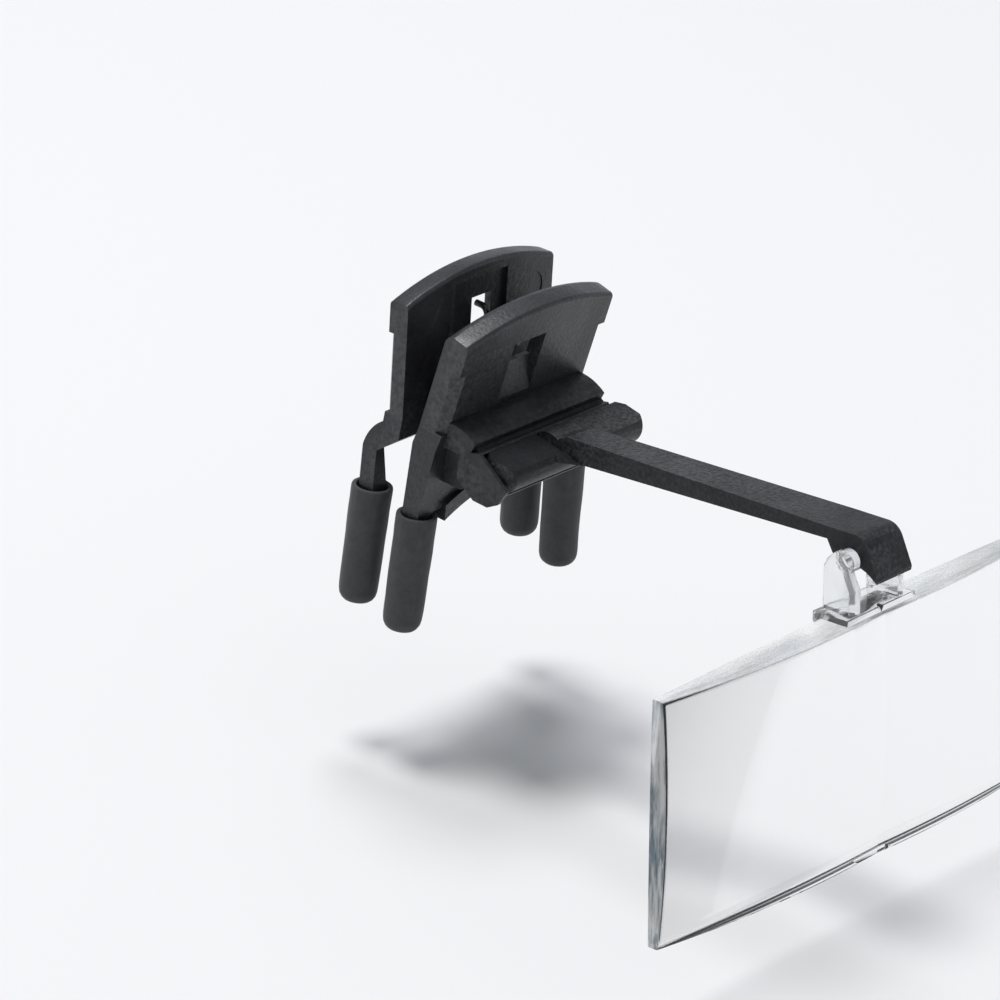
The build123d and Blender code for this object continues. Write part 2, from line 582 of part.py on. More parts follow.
# Arm: side outline in Y and Z, narrowed by a plan outline in X and Y
AXLE_Y = ROLLER_Y - ARM_REACH
AXLE_Z = ROLLER_Z + ARM_CLIMB
axle_r = AXLE_D / 2
hook_shares = [(-1.10, 2.45), (-2.98, -0.66), (-2.95, -1.07), (-1.88, -0.49), (-1.0, -0.25),
               (-1.0, 0.0), (1.0, 0.0), (1.0, -0.25), (1.85, -0.05), (2.57, 0.93)]
hook = [(AXLE_Y + a * axle_r, AXLE_Z + b * axle_r) for a, b in hook_shares]
flat_top = ROLLER_FLAT / cos(radians(ROLLER_FLAT_TILT))
arm_side = [(ROLLER_Y, ROLLER_Z + flat_top), (ROLLER_Y - roller_r, ROLLER_Z + ARM_ROOT_TOP)]
arm_side += hook
arm_side += [(ROLLER_Y - roller_r, ROLLER_Z + ARM_ROOT_TOP - ARM_ROOT_HEIGHT),
             (ROLLER_Y, ROLLER_Z + ARM_ROOT_TOP - ARM_ROOT_HEIGHT)]
arm_face = make_face(loop(arm_side))
for corner, radius in ((hook[0], HOOK_ROUND), (hook[1], HOOK_TIP_ROUND)):
    nearest = arm_face.vertices().sort_by_distance(corner)[0]
    arm_face = fillet(nearest, radius)
root_y = ROLLER_Y - FLARE_LENGTH
tip_y = AXLE_Y - EAR_D
narrow = ARM_ROOT_WIDTH / 2
flare_shares = (0.25, 0.42)  # where the flare's curve passes, across and along
flare_edges = []
for side in (-1, 1):
    bend = (side * (narrow + (FLARE_WIDTH / 2 - narrow) * flare_shares[0]),
            root_y + FLARE_LENGTH * flare_shares[1])
    flare_edges.append(ThreePointArc((side * FLARE_WIDTH / 2, ROLLER_Y), bend,
                                     (side * narrow, root_y)))
    flare_edges.append(Line((side * narrow, root_y), (side * HOOK_WIDTH / 2, AXLE_Y + EAR_D)))
    flare_edges.append(Line((side * HOOK_WIDTH / 2, AXLE_Y + EAR_D), (side * HOOK_WIDTH / 2, tip_y)))
flare_edges.append(Line((-FLARE_WIDTH / 2, ROLLER_Y), (FLARE_WIDTH / 2, ROLLER_Y)))
flare_edges.append(Line((-HOOK_WIDTH / 2, tip_y), (HOOK_WIDTH / 2, tip_y)))
plan = extrude(make_face(flare_edges), amount=AXLE_Z + OVERRUN)
flip_arm = extrude(Plane.YZ * arm_face, amount=FLARE_WIDTH / 2, both=True) & plan
flip_arm -= x_rod(axle_r + AXLE_FIT, -HOOK_WIDTH, HOOK_WIDTH, AXLE_Y, AXLE_Z)
roller_left, roller_right = trough_left + ROLLER_END_GAP, CRADLE_RIGHT + ROLLER_OVERHANG
roller = x_rod(roller_r, roller_left, roller_right, ROLLER_Y, ROLLER_Z)
roller = chamfer(roller.edges().filter_by(GeomType.CIRCLE), ROLLER_CHAMFER)
flip_arm += roller
for x0, x1 in ((roller_left, -narrow), (narrow, roller_right)):
    flat = block(x0, x1, -FLARE_LENGTH, ROLLER_D, ROLLER_FLAT, ROLLER_D)
    flip_arm -= Pos(0, ROLLER_Y, ROLLER_Z) * Rot(ROLLER_FLAT_TILT, 0, 0) * flat

# Lens, drawn upright with the axle on the X axis, then tilted and set on the arm
lens_top, lens_low = -LENS_DROP, -LENS_DROP - LENS_HEIGHT
lens_mid = (lens_top + lens_low) / 2
back_ball = Pos(0, BACK_CREST - BACK_RADIUS, lens_mid) * Sphere(BACK_RADIUS)
lens = None
for side in (-1, 1):
    x0, x1 = sorted((0, side * LENS_WIDTH / 2))
    slab = block(x0, x1, -FRONT_CREST - OVERRUN, BACK_CREST + OVERRUN, lens_low, lens_top)
    ball = Pos(side * OPTIC_OFFSET, FRONT_RADIUS - FRONT_CREST, lens_mid) * Sphere(FRONT_RADIUS)
    lens_half = slab & ball & back_ball
    lens = lens_half if lens is None else lens + lens_half
pad_x, ear_r = PAD_WIDTH / 2, EAR_D / 2
ear_x = HOOK_WIDTH / 2 + EAR_GAP
ear_shares = [(1.20, -0.35), (0.96, 0.09), (0.48, 0.50), (0.22, 0.43), (-0.29, -0.19),
              (-0.59, -0.85), (-0.83, -1.30)]
ear_side = [(a * ear_r, b * ear_r) for a, b in ear_shares]
ear_back, ear_front = ear_side[0][0], ear_side[-1][0]
ear_side += [(ear_front, lens_top), (ear_back, lens_top)]
lens += block(-pad_x, pad_x, -ear_r, ear_back, lens_top - PAD_HEIGHT, lens_top + PAD_HEIGHT)
for side in (-1, 1):
    ear = Pos(side * (ear_x + EAR_T / 2), 0, 0) * yz_prism(EAR_T, *loop(ear_side))
    outer = ear.faces().sort_by(Axis.X)[-1 if side > 0 else 0]
    lens += chamfer(outer.edges(), EAR_BEVEL)
lens += x_rod(axle_r, -ear_x - EAR_T / 2, ear_x + EAR_T / 2, 0, 0)
notch = [(-SEAM_NOTCH, lens_top + PAD_HEIGHT + SEAM_NOTCH), (0, lens_top),
         (SEAM_NOTCH, lens_top + PAD_HEIGHT + SEAM_NOTCH)]
lens -= xz_prism(OVERRUN, *loop(notch)) & block(
    -SEAM_NOTCH, SEAM_NOTCH, -OVERRUN, SEAM_NOTCH - ear_r, lens_top - PAD_HEIGHT, 0)
gate_x = GATE_WIDTH / 2
lens += block(-gate_x, gate_x, -GATE_DEPTH, GATE_HEIGHT, lens_low - GATE_HEIGHT, lens_low + GATE_HEIGHT)
loupe_lens = Pos(0, AXLE_Y, AXLE_Z) * Rot(-LENS_TILT, 0, 0) * lens

parts = {
    "front_lever": front_lever,
    "rear_lever": rear_lever,
    "pivot_pin": pivot_pin,
    "jaw_spring": jaw_spring,
    "hinge_cradle": hinge_cradle,
    "flip_arm": flip_arm,
    "loupe_lens": loupe_lens,
    **sleeves,
}
for name, shape in parts.items():
    export_step(shape, f"parts/{name}.step")
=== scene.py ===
from math import atan2, cos, pi, radians, sin, sqrt

import bmesh
import bpy
from mathutils import Matrix, Vector
from mathutils.noise import noise


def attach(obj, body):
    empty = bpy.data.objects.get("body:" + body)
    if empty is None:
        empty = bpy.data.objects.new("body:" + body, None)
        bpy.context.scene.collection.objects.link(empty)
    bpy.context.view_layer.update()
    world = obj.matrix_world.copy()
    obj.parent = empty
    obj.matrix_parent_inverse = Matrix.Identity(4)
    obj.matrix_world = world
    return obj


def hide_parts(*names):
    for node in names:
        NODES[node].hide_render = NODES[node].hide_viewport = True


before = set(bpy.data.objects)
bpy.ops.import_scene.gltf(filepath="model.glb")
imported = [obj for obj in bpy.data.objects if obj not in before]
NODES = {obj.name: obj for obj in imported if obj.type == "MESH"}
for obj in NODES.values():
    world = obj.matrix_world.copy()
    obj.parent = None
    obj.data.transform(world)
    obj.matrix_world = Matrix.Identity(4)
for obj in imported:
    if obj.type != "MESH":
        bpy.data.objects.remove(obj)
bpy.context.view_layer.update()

MM = 0.001
SCENE = bpy.context.scene


# Node helpers
def feed(tree, socket, value):
    """Link a socket to an output, or set its value."""
    if isinstance(value, bpy.types.NodeSocket):
        tree.links.new(value, socket)
    else:
        socket.default_value = value


def mix_colours(tree, factor, a, b):
    node = tree.nodes.new("ShaderNodeMix")
    node.data_type = "RGBA"
    for key, value in ((0, factor), (6, a), (7, b)):
        feed(tree, node.inputs[key], value)
    return node.outputs[2]


class Graph:
    """Small helper that adds shader nodes and links them."""

    def __init__(self, name):
        self.mat = bpy.data.materials.new(name)
        self.mat.use_nodes = True
        self.tree = self.mat.node_tree
        self.shader = self.tree.nodes["Principled BSDF"]
        self.coords = self.add("ShaderNodeTexCoord").outputs["Object"]

    def add(self, kind, **inputs):
        node = self.tree.nodes.new(kind)
        for key, value in inputs.items():
            feed(self.tree, node.inputs[key.replace("_", " ")], value)
        return node

    def stretch(self, sx, sy, sz):
        """Object coordinates scaled by a factor on each axis."""
        node = self.add("ShaderNodeMapping", Vector=self.coords)
        node.inputs["Scale"].default_value = (sx, sy, sz)
        return node.outputs["Vector"]

    def noise(self, scale, detail=2.0, rough=0.5, vector=None):
        node = self.add("ShaderNodeTexNoise", Vector=vector or self.coords,
                        Scale=scale, Detail=detail, Roughness=rough)
        return node.outputs["Fac"]

    def ramp(self, value, low, high, a=0.0, b=1.0):
        node = self.add("ShaderNodeMapRange", Value=value)
        for key, number in (("From Min", low), ("From Max", high), ("To Min", a), ("To Max", b)):
            node.inputs[key].default_value = number
        return node.outputs["Result"]

    def math(self, kind, a, b):
        node = self.tree.nodes.new("ShaderNodeMath")
        node.operation = kind
        for socket, value in zip(node.inputs, (a, b)):
            feed(self.tree, socket, value)
        return node.outputs[0]

    def mix(self, factor, a, b):
        return mix_colours(self.tree, factor, a, b)

    def bump(self, height, strength, distance, normal=None):
        node = self.add("ShaderNodeBump", Height=height, Strength=strength, Distance=distance)
        if normal is not None:
            self.tree.links.new(normal, node.inputs["Normal"])
        return node.outputs["Normal"]

    def set(self, **values):
        for key, value in values.items():
            feed(self.tree, self.shader.inputs[key.replace("_", " ")], value)
        return self.mat


EDGE_PALE = (0.11, 0.11, 0.12, 1.0)
RUBBER_DARK, RUBBER_PALE = (0.030, 0.031, 0.034, 1.0), (0.062, 0.063, 0.068, 1.0)
RUBBER_LINE = (0.10, 0.10, 0.108, 1.0)
STEEL_DARK, STEEL_PALE = (0.46, 0.46, 0.47), (0.66, 0.66, 0.67)
ACRYLIC_CLEAR, ACRYLIC_IOR = (0.985, 0.992, 0.992, 1.0), 1.491
ACRYLIC_SHADE = (0.86, 0.86, 0.86, 1.0)


def moulded_black(name, grain, dark, pale, rough, shine=0.5):
    """Black moulded plastic: fine grain, faint flow mottling and lighter speckled patches on convex
    edges.
    """
    g = Graph(name)
    fine = g.noise(grain, 3.0, 0.65)
    speck = g.noise(grain * 0.45, 2.0, 0.6)
    mottle = g.noise(260.0, 3.0, 0.6)
    flow = g.noise(170.0, 2.0, 0.5, g.stretch(1.0, 1.0, 0.35))
    blend = g.ramp(g.math("ADD", mottle, g.math("MULTIPLY", speck, 0.7)), 0.65, 1.05)
    colour = g.mix(blend, dark, pale)
    # Convex edges, found by pointiness, get lighter grey speckled patches
    edge = g.ramp(g.add("ShaderNodeNewGeometry").outputs["Pointiness"], 0.52, 0.60)
    pale_edge = g.math("MULTIPLY", edge, g.ramp(speck, 0.35, 0.75))
    colour = g.mix(g.math("MULTIPLY", pale_edge, 0.5), colour, EDGE_PALE)
    gloss = g.math("ADD", g.ramp(flow, 0.3, 0.7, rough - 0.07, rough + 0.07),
                   g.ramp(fine, 0.3, 0.7, -0.06, 0.06))
    coarse = g.bump(speck, 0.5, 0.00012)
    normal = g.bump(fine, 0.45, 0.00005, coarse)
    mat = g.set(Base_Color=colour, Roughness=gloss, Normal=normal, IOR=1.49)
    g.shader.inputs["Specular IOR Level"].default_value = shine
    return mat


def rubber(name):
    """Soft charcoal rubber: matte, dusty, with faint lines along the tube."""
    g = Graph(name)
    dust = g.noise(700.0, 4.0, 0.65)
    fine = g.noise(5200.0, 2.0, 0.6)
    lines = g.noise(900.0, 2.0, 0.5, g.stretch(1.0, 1.0, 0.06))
    colour = g.mix(g.ramp(dust, 0.35, 0.75), RUBBER_DARK, RUBBER_PALE)
    colour = g.mix(g.math("MULTIPLY", g.ramp(lines, 0.55, 0.75), 0.25), colour, RUBBER_LINE)
    gloss = g.ramp(dust, 0.3, 0.7, 0.62, 0.78)
    normal = g.bump(fine, 0.4, 0.00004, g.bump(lines, 0.3, 0.00008))
    mat = g.set(Base_Color=colour, Roughness=gloss, Normal=normal)
    g.shader.inputs["Sheen Weight"].default_value = 0.12
    g.shader.inputs["Sheen Roughness"].default_value = 0.4
    return mat


def steel(name, along, tone):
    """Drawn steel: fine lines along the wire and a slightly uneven shine."""
    g = Graph(name)
    lines = g.noise(2600.0, 2.0, 0.5, g.stretch(*along))
    cloud = g.noise(420.0, 2.0)
    low, high = [tuple(tone * v for v in rgb) + (1.0,) for rgb in (STEEL_DARK, STEEL_PALE)]
    colour = g.mix(cloud, low, high)
    gloss = g.math("ADD", g.ramp(lines, 0.3, 0.7, 0.22, 0.36), g.ramp(cloud, 0.3, 0.7, -0.03, 0.05))
    return g.set(Base_Color=colour, Roughness=gloss, Normal=g.bump(lines, 0.2, 0.00003), Metallic=1.0)


def acrylic(name, rough, wave, streak, drawn=(1.0, 1.0, 1.0), clear=1.0, dim=None):
    """Clear moulded acrylic. streak adds fine tool lines, drawn out by the given scales, clear is
    the share that isn't frosted and dim is a painted reflection and shade tint that darkens the
    lines."""
    g = Graph(name)
    lines = g.noise(900.0, 3.0, 0.6, g.stretch(*drawn))
    broad = g.noise(260.0, 3.0, 0.55, g.stretch(*drawn))
    waves = g.noise(38.0, 2.0)
    gloss = g.ramp(lines, 0.35, 0.75, rough * 0.7, rough * 1.4) if rough else 0.0
    normal = g.bump(lines, streak, 0.0001, g.bump(waves, wave, 0.001))
    mat = g.set(Roughness=gloss, Normal=normal)
    for key, value in (("Base Color", ACRYLIC_CLEAR), ("IOR", ACRYLIC_IOR),
                       ("Transmission Weight", clear)):
        g.shader.inputs[key].default_value = value
    # Painted reflection and shade: the tint darkens the base colour along the streaks, standing in
    # for refracted dark bands
    if dim is not None:
        both = g.math("ADD", g.math("MULTIPLY", lines, 0.45), g.math("MULTIPLY", broad, 0.55))
        g.set(Base_Color=g.mix(g.ramp(both, 0.42, 0.58), dim + (1.0,), ACRYLIC_CLEAR))
    above = g.shader.outputs[0]
    path = g.add("ShaderNodeLightPath")
    for ray in ("Is Diffuse Ray", "Is Shadow Ray"):
        through = g.add("ShaderNodeBsdfTransparent", Color=ACRYLIC_SHADE)
        either = g.add("ShaderNodeMixShader")
        g.tree.links.new(path.outputs[ray], either.inputs[0])
        g.tree.links.new(above, either.inputs[1])
        g.tree.links.new(through.outputs[0], either.inputs[2])
        above = either.outputs[0]
    g.tree.links.new(above, g.tree.nodes["Material Output"].inputs["Surface"])
    return mat


# Materials
plastic = moulded_black("black_plastic", 4200.0, (0.0138, 0.0142, 0.017, 1),
                        (0.026, 0.0268, 0.032, 1), 0.40)
cradle_plastic = moulded_black("cradle_plastic", 3000.0, (0.013, 0.0134, 0.016, 1),
                               (0.028, 0.029, 0.0345, 1), 0.48, 0.34)
arm_plastic = moulded_black("arm_plastic", 4600.0, (0.0088, 0.0090, 0.0110, 1),
                            (0.0155, 0.016, 0.0198, 1), 0.44, 0.25)
sleeve_rubber = rubber("sleeve_rubber")
wire_steel = steel("wire_steel", (1.0, 1.0, 0.2), 0.11)
pin_steel = steel("pin_steel", (0.05, 1.0, 1.0), 1.0)
clear_face = acrylic("clear_face", 0.0, 0.012, 0.0)
# The last colour given to the side, rim and ear materials is a painted reflection and shade tint for
# their streaks
clear_side = acrylic("clear_side", 0.06, 0.05, 0.8, (1.0, 2.2, 0.28), 0.45, (0.16, 0.24, 0.29))
clear_rim = acrylic("clear_rim", 0.26, 0.05, 0.45, (0.3, 2.0, 1.0), 0.45, (0.80, 0.825, 0.86))
clear_ear = acrylic("clear_ear", 0.09, 0.06, 0.25, (1.0, 1.0, 0.4), 0.86, (0.90, 0.92, 0.94))

for node, material in (("front_lever", plastic), ("rear_lever", plastic),
                       ("hinge_cradle", cradle_plastic), ("flip_arm", arm_plastic),
                       ("pivot_pin", pin_steel), ("jaw_spring", wire_steel)):
    mesh = NODES[node].data
    mesh.materials.clear()
    mesh.materials.append(material)


WELD_REACH, FLAT_ANGLE, SHARP_ANGLE = 0.004 * MM, radians(0.4), radians(30.0)


def soften(node, width):
    """Small moulded radius on the sharp edges of a CAD node, as modifiers."""
    obj = NODES[node]
    weld = obj.modifiers.new("weld", "WELD")
    weld.merge_threshold = WELD_REACH
    flat = obj.modifiers.new("flatten", "DECIMATE")
    flat.decimate_type = "DISSOLVE"
    flat.angle_limit = FLAT_ANGLE
    bevel = obj.modifiers.new("bevel", "BEVEL")
    bevel.width = width * MM
    bevel.segments = 2
    bevel.limit_method = "ANGLE"
    bevel.angle_limit = SHARP_ANGLE
    bevel.harden_normals = False
    bevel.use_clamp_overlap = True


for node, width in (("front_lever", 0.22), ("rear_lever", 0.22), ("hinge_cradle", 0.25),
                    ("flip_arm", 0.28), ("pivot_pin", 0.12)):
    soften(node, width)


# Mesh helpers
def mesh_object(bm, name):
    mesh = bpy.data.meshes.new(name)
    bm.to_mesh(mesh)
    bm.free()
    obj = bpy.data.objects.new(name, mesh)
    SCENE.collection.objects.link(obj)
    return obj


# Rubber sleeves
SLEEVE_MOUTH_R = 1.95
SLEEVE_PROFILE = [
    # radius, height from the mouth (mm)
    (0.02, -13.2), (1.33, -13.2), (1.33, -1.35), (1.45, -1.2), (1.90, -1.1), (1.95, -0.5),
    (1.99, -0.12), (2.10, 0.0), (2.36, 0.0), (2.49, -0.08), (2.54, -0.30), (2.55, -0.8),
    (2.54, -1.8), (2.53, -3.2), (2.52, -4.8), (2.50, -6.4), (2.48, -8.0), (2.46, -9.6),
    (2.44, -11.0), (2.43, -12.2), (2.42, -13.2), (2.39, -13.75), (2.28, -14.25), (2.05, -14.65),
    (1.74, -14.88), (1.36, -14.97), (0.9, -15.0), (0.5, -15.0), (0.02, -15.0),
]
SLEEVE_SIDES = 72
SLEEVE_TRIM = 0.05
SPLAY = radians(3.0)
SLEEVES = [
    # node, body, side, distance between the pair, y, mouth height (mm), seed
    ("front_left_sleeve", "front_clip", -1, 26.9, -3.45, 7.4, 1),
    ("front_right_sleeve", "front_clip", 1, 26.9, -3.45, 7.4, 2),
    ("rear_left_sleeve", "rear_clip", -1, 27.8, 3.45, 8.6, 3),
    ("rear_right_sleeve", "rear_clip", 1, 27.8, 3.45, 8.6, 4),
]


def sleeve(node, body, side, spread, y, top, seed):
    """Moulded rubber tube over a leg's prong, a little uneven as soft rubber is."""
    bm = bmesh.new()
    rings = []
    for r, h in SLEEVE_PROFILE:
        ring = []
        for i in range(SLEEVE_SIDES):
            a = 2 * pi * i / SLEEVE_SIDES
            uneven = r
            if r > SLEEVE_MOUTH_R:
                p = Vector((cos(a) * 1.1, sin(a) * 1.1, h * 0.22 + seed * 7.3))
                uneven = r + (0.07 * noise(p) + 0.03 * noise(p * 3.1)) - SLEEVE_TRIM
            ring.append(bm.verts.new((uneven * cos(a) * MM, uneven * sin(a) * MM, h * MM)))
        rings.append(ring)
    for lower, upper in zip(rings, rings[1:]):
        for i in range(SLEEVE_SIDES):
            j = (i + 1) % SLEEVE_SIDES
            bm.faces.new((lower[i], lower[j], upper[j], upper[i]))
    bm.faces.new(rings[0])
    bm.faces.new(rings[-1])
    for face in bm.faces:
        face.smooth = True
    bmesh.ops.recalc_face_normals(bm, faces=bm.faces)
    piece = mesh_object(bm, "rubber_" + node)
    piece.data.materials.append(sleeve_rubber)
    piece.matrix_world = (Matrix.Translation(Vector((side * spread / 2, y, top)) * MM)
                          @ Matrix.Rotation(-side * SPLAY, 4, "Y"))
    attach(piece, body)
    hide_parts(node)


for row in SLEEVES:
    sleeve(*row)


# Lens
AXLE = Vector((0.0, -58.9, 20.7)) * MM
TILT = radians(-6.9)
LENS_W, LENS_TOP, LENS_LOW = 73.8, -6.65, -36.85
LENS_MID = (LENS_TOP + LENS_LOW) / 2
FRONT_R, BACK_R, FRONT_CREST, BACK_CREST, OPTIC = 155.0, 900.0, 3.8, 1.75, 9.0
PAD_X, PAD_H, EAR_R, EAR_IN, EAR_OUT, AXLE_R = 6.3, 0.7, 2.3, 3.45, 4.95, 1.4
EAR_SHARES = [(1.20, -0.35), (0.96, 0.09), (0.48, 0.50), (0.22, 0.43), (-0.29, -0.19),
              (-0.59, -0.85), (-0.83, -1.30)]
EAR_BEVEL, EAR_ROUND, FOOT_SINK = 0.5, 0.10, 0.3
NOTCH, NOTCH_FRONT = 0.9, -6.0
AXLE_SINK, AXLE_SIDES = 0.7, 48
GATE_X, GATE_H, GATE_FRONT, GATE_BACK, GATE_ROUND = 3.25, 0.3, -2.0, 0.3, 0.1
EDGE_ROUND, PLATE_COLUMNS, PLATE_ROWS = 0.14, 120, 50
FACE, SIDE, RIM, EAR = range(4)


def front_y(x, z):
    """Front face of the lens, two spheres that meet at the seam."""
    dx, dz = abs(x) - OPTIC, z - LENS_MID
    return -FRONT_CREST + FRONT_R - sqrt(FRONT_R ** 2 - dx * dx - dz * dz)


def back_y(x, z):
    """Back face of the lens, one shallow sphere."""
    dz = z - LENS_MID
    return BACK_CREST - BACK_R + sqrt(BACK_R ** 2 - x * x - dz * dz)


def lens_plate():
    """Closed plate between the front and back surfaces, with small edge radii."""
    bm = bmesh.new()
    nx, nz = PLATE_COLUMNS, PLATE_ROWS
    layers = []
    for surface in (front_y, back_y):
        grid = []
        for i in range(nx + 1):
            x = LENS_W * (i / nx - 0.5)
            column = []
            for k in range(nz + 1):
                z = LENS_LOW + (LENS_TOP - LENS_LOW) * k / nz
                column.append(bm.verts.new((x * MM, surface(x, z) * MM, z * MM)))
            grid.append(column)
        layers.append(grid)
    for grid in layers:
        for i in range(nx):
            for k in range(nz):
                bm.faces.new((grid[i][k], grid[i + 1][k], grid[i + 1][k + 1], grid[i][k + 1]))
    front, back = layers
    for i in range(nx):
        for k in (0, nz):
            bm.faces.new((front[i][k], front[i + 1][k], back[i + 1][k], back[i][k]))
    for k in range(nz):
        for i in (0, nx):
            bm.faces.new((front[i][k], front[i][k + 1], back[i][k + 1], back[i][k]))
    bmesh.ops.recalc_face_normals(bm, faces=bm.faces)
    bm.normal_update()
    sharp = [e for e in bm.edges if len(e.link_faces) == 2 and e.calc_face_angle() > radians(60)]
    bmesh.ops.bevel(bm, geom=sharp, offset=EDGE_ROUND * MM, segments=2, profile=0.5,
                    affect="EDGES", clamp_overlap=True)
    return bm


def prism(outline, x0, x1, radius, outer=None):
    """Outline in Y and Z pushed along X, its edges rounded; outer is a chamfer at the x1 end."""
    bm = bmesh.new()
    a = [bm.verts.new((x0 * MM, y * MM, z * MM)) for y, z in outline]
    b = [bm.verts.new((x1 * MM, y * MM, z * MM)) for y, z in outline]
    bm.faces.new(a)
    cap = bm.faces.new(b)
    n = len(outline)
    for i in range(n):
        j = (i + 1) % n
        bm.faces.new((a[i], a[j], b[j], b[i]))
    bmesh.ops.recalc_face_normals(bm, faces=bm.faces)
    if outer:
        bmesh.ops.bevel(bm, geom=list(cap.edges), offset=outer * MM, segments=1, affect="EDGES",
                        clamp_overlap=True)
    if radius > 0:
        bm.normal_update()
        sharp = [e for e in bm.edges if e.calc_face_angle() > radians(25)]
        bmesh.ops.bevel(bm, geom=sharp, offset=radius * MM, segments=2, profile=0.5,
                        affect="EDGES", clamp_overlap=True)
    return bm


def ear_outline():
    """Upright ear that leans over the axle; its foot runs into the plate."""
    points = [(a * EAR_R, b * EAR_R) for a, b in EAR_SHARES]
    foot = LENS_TOP - FOOT_SINK
    return points + [(points[-1][0], foot), (points[0][0], foot)]


def disc_outline(radius, sides):
    turns = [2 * pi * i / sides for i in range(sides)]
    return [(radius * cos(a), radius * sin(a)) for a in turns]


def box_outline(y0, y1, z0, z1):
    return [(y0, z0), (y1, z0), (y1, z1), (y0, z1)]


def combine(base, tools):
    """Exact unions and cuts, applied to the base mesh; the tools are removed."""
    for tool, operation in tools:
        mod = base.modifiers.new("combine", "BOOLEAN")
        mod.operation, mod.solver, mod.object = operation, "EXACT", tool
    graph = bpy.context.evaluated_depsgraph_get()
    mesh = bpy.data.meshes.new_from_object(base.evaluated_get(graph))
    base.modifiers.clear()
    base.data = mesh
    for tool, _ in tools:
        bpy.data.objects.remove(tool)


def notch():
    """Wedge that cuts the small mark where the two halves meet, at the front of the pad."""
    bm = bmesh.new()
    top = LENS_TOP + PAD_H + NOTCH
    ends = [[bm.verts.new((x * MM, y * MM, z * MM)) for x, z in
             ((-NOTCH, top), (0, LENS_TOP), (NOTCH, top))] for y in (NOTCH_FRONT, NOTCH - EAR_R)]
    for end in ends:
        bm.faces.new(end)
    for i in range(3):
        j = (i + 1) % 3
        bm.faces.new((ends[0][i], ends[0][j], ends[1][j], ends[1][i]))
    bmesh.ops.recalc_face_normals(bm, faces=bm.faces)
    return bm


lens = mesh_object(lens_plate(), "clear_twin_lens")
pad_back = EAR_SHARES[0][0] * EAR_R
pad_outline = box_outline(-EAR_R, pad_back, LENS_TOP - PAD_H, LENS_TOP + PAD_H)
pad = prism(pad_outline, -PAD_X, PAD_X, EDGE_ROUND)
tools = [(mesh_object(pad, "pad"), "UNION")]
for side in (-1, 1):
    ear = prism(ear_outline(), side * EAR_IN, side * EAR_OUT, EAR_ROUND, EAR_BEVEL)
    tools.append((mesh_object(ear, "ear"), "UNION"))
axle_x = EAR_IN + AXLE_SINK
axle = prism(disc_outline(AXLE_R, AXLE_SIDES), -axle_x, axle_x, 0)
tools.append((mesh_object(axle, "axle"), "UNION"))
gate_outline = box_outline(GATE_FRONT, GATE_BACK, LENS_LOW - GATE_H, LENS_LOW + GATE_H)
gate = prism(gate_outline, -GATE_X, GATE_X, GATE_ROUND)
tools.append((mesh_object(gate, "gate"), "UNION"))
tools.append((mesh_object(notch(), "notch"), "DIFFERENCE"))
combine(lens, tools)
for poly in lens.data.polygons:
    poly.use_smooth = True
lens.data.set_sharp_from_angle(angle=radians(28))

# The seam between the two fields stays crisp
verts = lens.data.vertices
for edge in lens.data.edges:
    ends = [verts[i].co for i in edge.vertices]
    if all(abs(co.x) < 0.001 * MM and co.y < -2.0 * MM and co.z < LENS_TOP * MM for co in ends):
        edge.use_edge_sharp = True

# Polished faces, streaked sides and rim, clear ears; the side, rim and ear streaks carry painted
# reflections and shade in their colour
lens.data.materials.clear()
for material in (clear_face, clear_side, clear_rim, clear_ear):
    lens.data.materials.append(material)
edge_x, edge_z = (LENS_W / 2 - 0.3) * MM, (LENS_TOP - 0.2) * MM
for poly in lens.data.polygons:
    c, n = poly.center, poly.normal
    if abs(c.x) > edge_x and abs(n.x) > 0.3:
        poly.material_index = SIDE
    elif n.z > 0.3 and edge_z < c.z < (LENS_TOP + 0.1) * MM:
        poly.material_index = RIM
    elif c.z > edge_z:
        poly.material_index = EAR
    else:
        poly.material_index = FACE
lens.matrix_world = Matrix.Translation(AXLE) @ Matrix.Rotation(TILT, 4, "X")
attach(lens, "lens")
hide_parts("loupe_lens")


# Stage
def plain(name, colour, rough):
    g = Graph(name)
    cloud = g.noise(2.2, 2.0)
    tone = g.mix(g.math("MULTIPLY", cloud, 0.25), colour, tuple(c * 0.97 for c in colour[:3]) + (1,))
    return g.set(Base_Color=tone, Roughness=rough)


FLOOR_Z, FLOOR_SIZE = -25.4 * MM, 6.0
bpy.ops.mesh.primitive_plane_add(size=FLOOR_SIZE, location=(0, 0, FLOOR_Z))
floor = bpy.context.object
floor.name = "stage_floor"
floor.data.materials.append(plain("pale_floor", (0.86, 0.865, 0.88, 1), 0.6))


LAMP_AIM = Vector((0, -0.03, 0))
LAMPS = [
    # name, direction from the part, distance and size (m), power (W), colour
    ("key_light", (-5, 9, 45), 1.3, 0.34, 9.2, (1.0, 0.985, 0.955)),
    ("window_light", (0.21, 0.29, 0.935), 1.2, 0.36, 3.6, (0.95, 0.95, 1.0)),
]


def soft_box(name, direction, distance, size, power, colour):
    """Round lamp that points at the part and isn't seen through the lens."""
    light = bpy.data.lights.new(name, "AREA")
    light.shape, light.size, light.energy, light.color = "DISK", size, power, colour
    obj = bpy.data.objects.new(name, light)
    SCENE.collection.objects.link(obj)
    d = Vector(direction).normalized()
    obj.location = d * distance + LAMP_AIM
    obj.rotation_mode = "QUATERNION"
    obj.rotation_quaternion = d.to_track_quat("Z", "Y")
    obj.visible_transmission = False


for lamp in LAMPS:
    soft_box(*lamp)

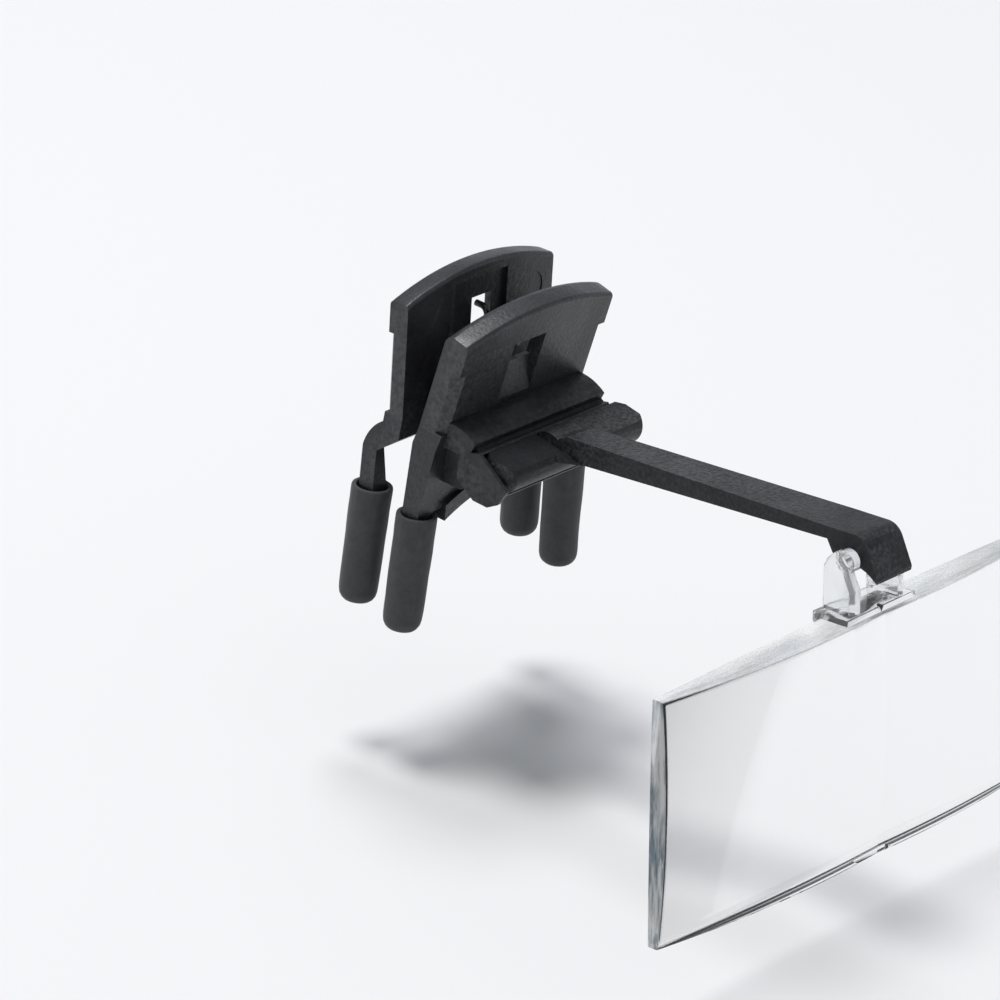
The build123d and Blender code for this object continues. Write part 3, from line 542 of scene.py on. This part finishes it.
# Brightness of the room by height, from the horizon up: place, value
LIGHT = [(0.0, 0.31), (0.9, 0.40)]
MIRRORED = [(0.0, 0.93), (0.34, 0.90), (0.44, 0.12), (0.55, 0.12), (0.80, 0.50), (1.0, 0.58)]
THROUGH = [(0.0, 0.93), (0.16, 0.93), (0.22, 0.03), (0.42, 0.03), (0.50, 0.50), (0.62, 0.90),
           (1.0, 0.95)]
ROOM_TINT = (0.93, 0.965, 1.0)
BACKDROP = (0.93, 0.94, 0.955, 1.0)


def studio_world():
    """Soft, slightly blue room light; gloss mirrors a pale room with one dim band, and glass
    shows a pale room with one dark band, which draws the lens's edges."""
    world = bpy.data.worlds.new("studio")
    SCENE.world = world
    world.use_nodes = True
    nodes, links = world.node_tree.nodes, world.node_tree.links
    split = nodes.new("ShaderNodeSeparateXYZ")
    links.new(nodes.new("ShaderNodeTexCoord").outputs["Generated"], split.inputs[0])

    def bands(stops):
        ramp = nodes.new("ShaderNodeValToRGB")
        ramp.color_ramp.interpolation = "EASE"
        while len(ramp.color_ramp.elements) < len(stops):
            ramp.color_ramp.elements.new(0.5)
        for element, (place, value) in zip(ramp.color_ramp.elements, stops):
            element.position = place
            element.color = tuple(value * tint for tint in ROOM_TINT) + (1.0,)
        links.new(split.outputs["Z"], ramp.inputs[0])
        return ramp.outputs[0]

    def mix(factor, a, b):
        return mix_colours(world.node_tree, factor, a, b)

    light = bands(LIGHT)
    path = nodes.new("ShaderNodeLightPath")
    colour = mix(path.outputs["Is Glossy Ray"], light, bands(MIRRORED))
    colour = mix(path.outputs["Is Transmission Ray"], colour, bands(THROUGH))
    colour = mix(path.outputs["Is Camera Ray"], colour, BACKDROP)
    bounced = nodes.new("ShaderNodeMath")
    bounced.operation = "GREATER_THAN"
    links.new(path.outputs["Diffuse Depth"], bounced.inputs[0])
    bounced.inputs[1].default_value = 0.5
    colour = mix(bounced.outputs[0], colour, light)
    links.new(colour, nodes["Background"].inputs["Color"])
    nodes["Background"].inputs["Strength"].default_value = 1.0


studio_world()

SCENE.view_settings.view_transform = "Standard"


# Camera
def set_camera(eye, azimuth, elevation, roll, lens_mm):
    """Camera at a point, looking along an azimuth and elevation, rolled about its line of sight."""
    a, e, r = radians(azimuth), radians(elevation), radians(roll)
    back = Vector((sin(a) * cos(e), -cos(a) * cos(e), sin(e)))
    right0 = Vector((cos(a), sin(a), 0))
    up0 = back.cross(right0)
    right = right0 * cos(r) + up0 * sin(r)
    up = up0 * cos(r) - right0 * sin(r)
    data = bpy.data.cameras.new("camera")
    data.lens, data.sensor_width, data.clip_start, data.clip_end = lens_mm, 36.0, 0.01, 20.0
    obj = bpy.data.objects.new("camera", data)
    SCENE.collection.objects.link(obj)
    turn = Matrix((right, up, back)).transposed()
    obj.matrix_world = Matrix.Translation(eye) @ turn.to_4x4()
    SCENE.camera = obj


set_camera(eye=Vector((-536.25, -433.61, 341.83)) * MM, azimuth=-51.36, elevation=26.09,
           roll=6.35, lens_mm=230.37)

bpy.context.view_layer.update()
